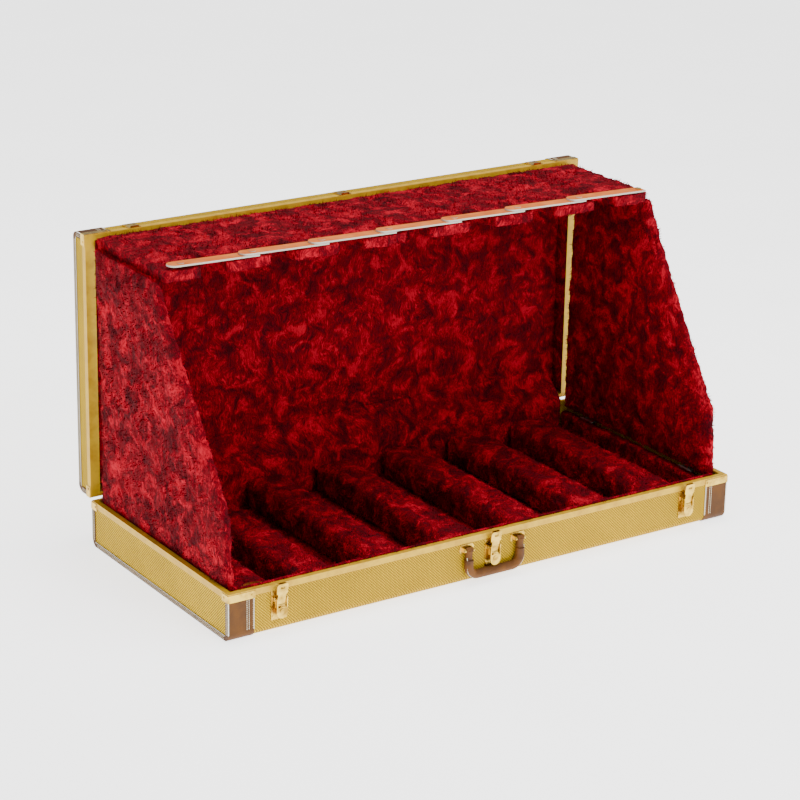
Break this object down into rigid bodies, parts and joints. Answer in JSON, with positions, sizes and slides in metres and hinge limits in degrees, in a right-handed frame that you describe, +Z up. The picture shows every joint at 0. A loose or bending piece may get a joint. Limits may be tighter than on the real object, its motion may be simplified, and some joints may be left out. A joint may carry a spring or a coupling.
{
  "type": "guitar case stand",
  "caption": "Open tweed travelling case used as a stand: slotted plush tray, upright lid, folding side panels and a notched neck rest with snap straps.",
  "frame": {"origin": "centre of the underside of the tray", "axes": "+X along the width to the right, -Y towards the front with the handle, +Z up; the lid stands at +Y"},
  "size_m": [1.0566, 0.5457, 0.5747],
  "materials": {
    "tweed": "woven, matt",
    "leather": "satin",
    "plush": "long pile",
    "brass": "satin",
    "trim": "satin",
    "strap_leather": "satin",
    "hinge_steel": "brushed"
  },
  "bodies": {
    "tray": {"tray_shell": "tweed", "tray_valance": "trim", "tray_leather_left": "leather", "tray_leather_right": "leather", "tray_corner_plates": "brass", "tray_lining": "plush", "side_block_left": "plush", "side_block_right": "plush", "divider_1": "plush", "divider_2": "plush", "divider_3": "plush", "divider_4": "plush", "divider_5": "plush", "divider_6": "plush", "badge_plate": "brass", "tray_hinge_leaves": "hinge_steel", "lid_hinge_pins": "hinge_steel", "latch_plate_left": "brass", "latch_plate_centre": "brass", "latch_plate_right": "brass", "latch_pins": "hinge_steel", "handle_plates": "brass", "handle_pins": "hinge_steel", "panel_hinge_leaves": "hinge_steel", "panel_hinge_pins": "hinge_steel"},
    "lid": {"lid_shell": "tweed", "lid_valance": "trim", "lid_leather_left": "leather", "lid_leather_right": "leather", "lid_corner_plates": "brass", "lid_lining": "plush", "lid_keepers": "brass", "lid_hinge_leaves": "hinge_steel", "rest_hinge_leaves": "hinge_steel", "rest_hinge_pins": "hinge_steel"},
    "neck_rest": {"neck_rest": "plush", "rest_hinge_arms": "hinge_steel", "snap_studs": "brass", "strap_tabs": "strap_leather"},
    "left_panel": {"left_side_panel": "plush", "left_panel_knuckles": "hinge_steel"},
    "right_panel": {"right_side_panel": "plush", "right_panel_knuckles": "hinge_steel"},
    "handle": {"handle_grip": "leather"},
    "latch_lever_left": {"latch_lever_left": "brass"},
    "latch_hook_left": {"latch_hook_left": "brass"},
    "latch_lever_centre": {"latch_lever_centre": "brass"},
    "latch_hook_centre": {"latch_hook_centre": "brass"},
    "latch_lever_right": {"latch_lever_right": "brass"},
    "latch_hook_right": {"latch_hook_right": "brass"},
    "strap_1": {"strap_1": "strap_leather"},
    "strap_2": {"strap_2": "strap_leather"},
    "strap_3": {"strap_3": "strap_leather"},
    "strap_4": {"strap_4": "strap_leather"},
    "strap_5": {"strap_5": "strap_leather"},
    "strap_6": {"strap_6": "strap_leather"},
    "strap_7": {"strap_7": "strap_leather"}
  },
  "joints": [
    {"name": "lid_hinge", "type": "hinge", "parent": "tray", "child": "lid", "pos_m": [0, 0.2435, 0.086], "axis": [1, 0, 0], "range_deg": [0, 90], "deforming": ["left_side_panel", "right_side_panel"]},
    {"name": "rest_fold", "type": "hinge", "parent": "lid", "child": "neck_rest", "pos_m": [0, 0.2647, 0.5558], "axis": [1, 0, 0], "range_deg": [0, 90]},
    {"name": "left_panel_fold", "type": "hinge", "parent": "tray", "child": "left_panel", "pos_m": [-0.501, 0, 0.072], "axis": [0, 1, 0], "range_deg": [0, 90]},
    {"name": "right_panel_fold", "type": "hinge", "parent": "tray", "child": "right_panel", "pos_m": [0.501, 0, 0.072], "axis": [0, -1, 0], "range_deg": [0, 90]},
    {"name": "latch_lever_left_swing", "type": "hinge", "parent": "tray", "child": "latch_lever_left", "pos_m": [-0.43, -0.2445, 0.06], "axis": [1, 0, 0], "range_deg": [-100, 0]},
    {"name": "latch_hook_left_swing", "type": "hinge", "parent": "latch_lever_left", "child": "latch_hook_left", "pos_m": [-0.43, -0.2473, 0.05], "axis": [1, 0, 0], "range_deg": [0, 100]},
    {"name": "latch_lever_centre_swing", "type": "hinge", "parent": "tray", "child": "latch_lever_centre", "pos_m": [0, -0.2445, 0.06], "axis": [1, 0, 0], "range_deg": [-100, 0]},
    {"name": "latch_hook_centre_swing", "type": "hinge", "parent": "latch_lever_centre", "child": "latch_hook_centre", "pos_m": [0, -0.2473, 0.05], "axis": [1, 0, 0], "range_deg": [0, 100]},
    {"name": "latch_lever_right_swing", "type": "hinge", "parent": "tray", "child": "latch_lever_right", "pos_m": [0.43, -0.2445, 0.06], "axis": [1, 0, 0], "range_deg": [-100, 0]},
    {"name": "latch_hook_right_swing", "type": "hinge", "parent": "latch_lever_right", "child": "latch_hook_right", "pos_m": [0.43, -0.2473, 0.05], "axis": [1, 0, 0], "range_deg": [0, 100]},
    {"name": "handle_swing", "type": "hinge", "parent": "tray", "child": "handle", "pos_m": [0, -0.247, 0.064], "axis": [-1, 0, 0], "range_deg": [0, 90]},
    {"name": "strap_1_snap", "type": "hinge", "parent": "neck_rest", "child": "strap_1", "pos_m": [-0.35841, 0.015, 0.5702], "axis": [0, -1, 0], "range_deg": [-110, 0]},
    {"name": "strap_2_snap", "type": "hinge", "parent": "neck_rest", "child": "strap_2", "pos_m": [-0.22141, 0.015, 0.5702], "axis": [0, -1, 0], "range_deg": [-110, 0]},
    {"name": "strap_3_snap", "type": "hinge", "parent": "neck_rest", "child": "strap_3", "pos_m": [-0.08441, 0.015, 0.5702], "axis": [0, -1, 0], "range_deg": [-110, 0]},
    {"name": "strap_4_snap", "type": "hinge", "parent": "neck_rest", "child": "strap_4", "pos_m": [0.05259, 0.015, 0.5702], "axis": [0, -1, 0], "range_deg": [-110, 0]},
    {"name": "strap_5_snap", "type": "hinge", "parent": "neck_rest", "child": "strap_5", "pos_m": [0.18959, 0.015, 0.5702], "axis": [0, -1, 0], "range_deg": [-110, 0]},
    {"name": "strap_6_snap", "type": "hinge", "parent": "neck_rest", "child": "strap_6", "pos_m": [0.32659, 0.015, 0.5702], "axis": [0, -1, 0], "range_deg": [-110, 0]},
    {"name": "strap_7_snap", "type": "hinge", "parent": "neck_rest", "child": "strap_7", "pos_m": [0.46359, 0.015, 0.5702], "axis": [0, -1, 0], "range_deg": [-110, 0]}
  ],
  "couplings": [
    {"joint": "rest_fold", "follows": "lid_hinge", "ratio": 1},
    {"joint": "left_panel_fold", "follows": "lid_hinge", "ratio": 1},
    {"joint": "right_panel_fold", "follows": "lid_hinge", "ratio": 1},
    {"joint": "latch_hook_left_swing", "follows": "latch_lever_left_swing", "ratio": -1},
    {"joint": "latch_hook_centre_swing", "follows": "latch_lever_centre_swing", "ratio": -1},
    {"joint": "latch_hook_right_swing", "follows": "latch_lever_right_swing", "ratio": -1}
  ]
}
